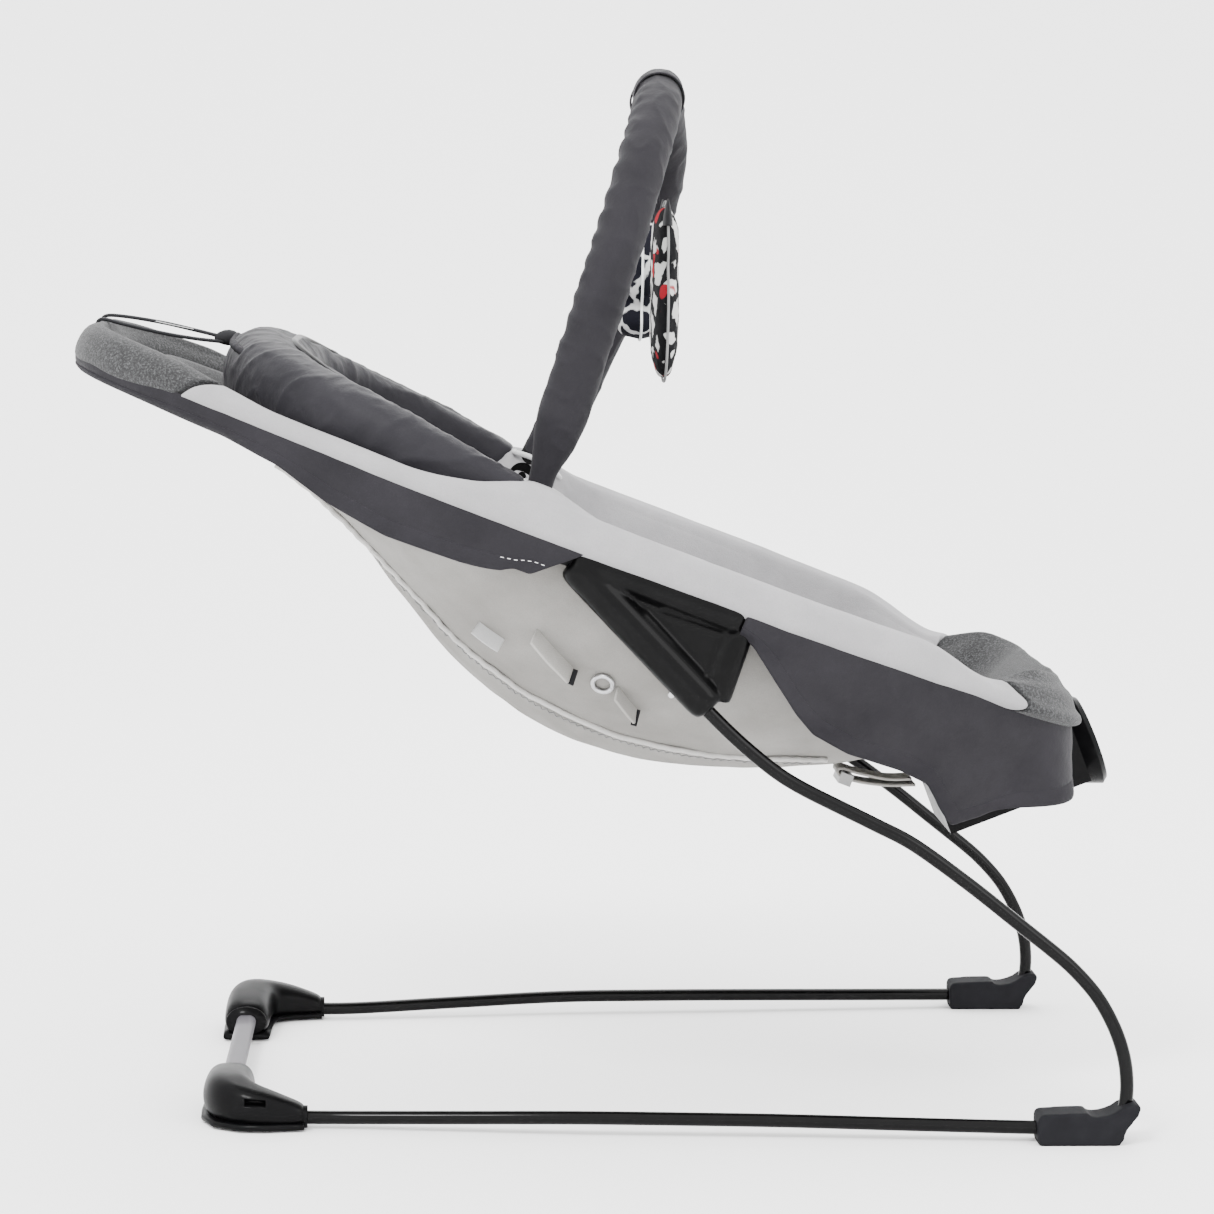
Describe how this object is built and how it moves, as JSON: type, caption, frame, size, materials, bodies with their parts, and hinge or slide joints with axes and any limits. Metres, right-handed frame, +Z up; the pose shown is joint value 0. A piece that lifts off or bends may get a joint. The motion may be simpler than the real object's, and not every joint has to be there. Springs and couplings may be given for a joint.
{
  "type": "bouncer seat",
  "caption": "Baby bouncer seat: wire rocker base, reclined padded sling with harness, folding canopy, toy bar with plush toys and a vibration and music unit.",
  "frame": {"origin": "on the floor, under the middle of the object's bounding box", "axes": "+X towards the baby's feet, +Y towards the baby's left, +Z up"},
  "size_m": [0.7135, 0.447, 0.697],
  "materials": {
    "wire_gloss": "gloss black paint",
    "tube_black": "satin black paint",
    "crossbar_grey": "satin grey paint",
    "black_plastic": "semi-gloss black moulding",
    "dark_plastic": "fine-textured dark grey moulding",
    "white_plastic": "satin white moulding",
    "rubber_grey": "matt dark grey rubber",
    "steel_zinc": "zinc-plated steel",
    "steel_spring": "spring steel",
    "copper_board": "circuit board",
    "cell_wrap": "plain wrapped cell",
    "fabric_dark": "dark grey woven polyester",
    "fabric_melange": "heathered grey jersey",
    "fabric_light": "light grey soft pile",
    "fabric_offwhite": "off-white padded polyester",
    "webbing_grey": "grey woven webbing",
    "webbing_black": "black elastic webbing",
    "toy_pattern": "printed plush",
    "toy_dark": "dark plush with light stitching",
    "ribbon": "woven ribbon"
  },
  "bodies": {
    "base": {"base_crossbar": "crossbar_grey", "corner_cover_right": "dark_plastic", "corner_cover_left": "dark_plastic", "corner_base_right": "dark_plastic", "corner_base_left": "dark_plastic", "corner_pads": "rubber_grey", "rear_foot_right": "rubber_grey", "rear_foot_left": "rubber_grey", "floor_wire_right": "wire_gloss", "floor_wire_left": "wire_gloss"},
    "toy_bar": {"toy_bar_rod": "steel_spring", "toy_bar_padding": "fabric_dark", "toy_bar_plugs": "black_plastic"},
    "canopy": {"canopy_hoop": "steel_spring", "canopy_caps": "black_plastic", "canopy_fabric": "fabric_dark"},
    "panda": {"toy_panda": "toy_pattern", "toy_panda_loop": "ribbon"},
    "bird": {"toy_bird": "toy_dark", "toy_bird_loop": "ribbon"},
    "power_key": {"power_button": "black_plastic"},
    "music_key": {"music_button": "black_plastic"},
    "release_key": {"buckle_button": "black_plastic"},
    "motor_weight": {"eccentric_weight": "steel_zinc"},
    "seat": {"battery_cells": "cell_wrap", "battery_door": "dark_plastic", "bracket_inner_left": "black_plastic", "bracket_inner_right": "black_plastic", "bracket_outer_left": "black_plastic", "bracket_outer_right": "black_plastic", "bracket_screws": "steel_zinc", "buckle_body": "dark_plastic", "canopy_tie": "webbing_black", "control_board": "copper_board", "crotch_strap": "webbing_grey", "dial": "dark_plastic", "door_screw": "steel_zinc", "foot_roll": "fabric_melange", "foot_skirt_left": "fabric_dark", "foot_skirt_right": "fabric_dark", "front_slide": "dark_plastic", "front_strap": "webbing_black", "head_roll": "fabric_melange", "head_skirt": "fabric_dark", "hub_left": "black_plastic", "hub_pins": "steel_zinc", "hub_right": "black_plastic", "seat_tube_foot": "tube_black", "seat_tube_head": "tube_black", "sling_back": "fabric_offwhite", "sling_legs": "fabric_offwhite", "sling_seat": "fabric_offwhite", "unit_case": "dark_plastic", "upright_wire_left": "wire_gloss", "upright_wire_right": "wire_gloss", "vibration_motor": "steel_zinc", "waist_strap_left": "webbing_grey", "waist_strap_right": "webbing_grey", "wing_left": "fabric_light", "wing_right": "fabric_light"}
  },
  "joints": [
    {"name": "bounce", "type": "hinge", "parent": "base", "child": "seat", "pos_m": [0.337, 0, 0.0385], "axis": [0, -1, 0], "range_deg": [-2.5, 4], "stiffness_Nm_per_rad": 250, "springref_deg": -2.58},
    {"name": "toy_bar_pivot", "type": "hinge", "parent": "seat", "child": "toy_bar", "pos_m": [-0.05066, 0, 0.40791], "axis": [0, 1, 0], "range_deg": [0, 60]},
    {"name": "canopy_pivot", "type": "hinge", "parent": "seat", "child": "canopy", "pos_m": [-0.05066, 0, 0.40791], "axis": [0, 1, 0], "range_deg": [0, 55]},
    {"name": "panda_swing", "type": "hinge", "parent": "toy_bar", "child": "panda", "pos_m": [0.03578, -0.04409, 0.67553], "axis": [0, 1, 0], "range_deg": [-35, 35]},
    {"name": "bird_swing", "type": "hinge", "parent": "toy_bar", "child": "bird", "pos_m": [0.03791, 0.04407, 0.67564], "axis": [0, 1, 0], "range_deg": [-35, 35]},
    {"name": "power_press", "type": "slide", "parent": "seat", "child": "power_key", "axis": [-0.9323, 0, -0.3616], "range_m": [0, 0.001], "stiffness_N_per_m": 700, "springref_m": -0.001},
    {"name": "music_press", "type": "slide", "parent": "seat", "child": "music_key", "axis": [-0.9323, 0, -0.3616], "range_m": [0, 0.001], "stiffness_N_per_m": 700, "springref_m": -0.001},
    {"name": "buckle_press", "type": "slide", "parent": "seat", "child": "release_key", "axis": [-0.3486, 0, -0.9373], "range_m": [0, 0.0025], "stiffness_N_per_m": 900, "springref_m": -0.002},
    {"name": "motor_spin", "type": "hinge", "parent": "seat", "child": "motor_weight", "pos_m": [0.30369, 0.011, 0.22227], "axis": [0, 1, 0], "continuous": true}
  ]
}
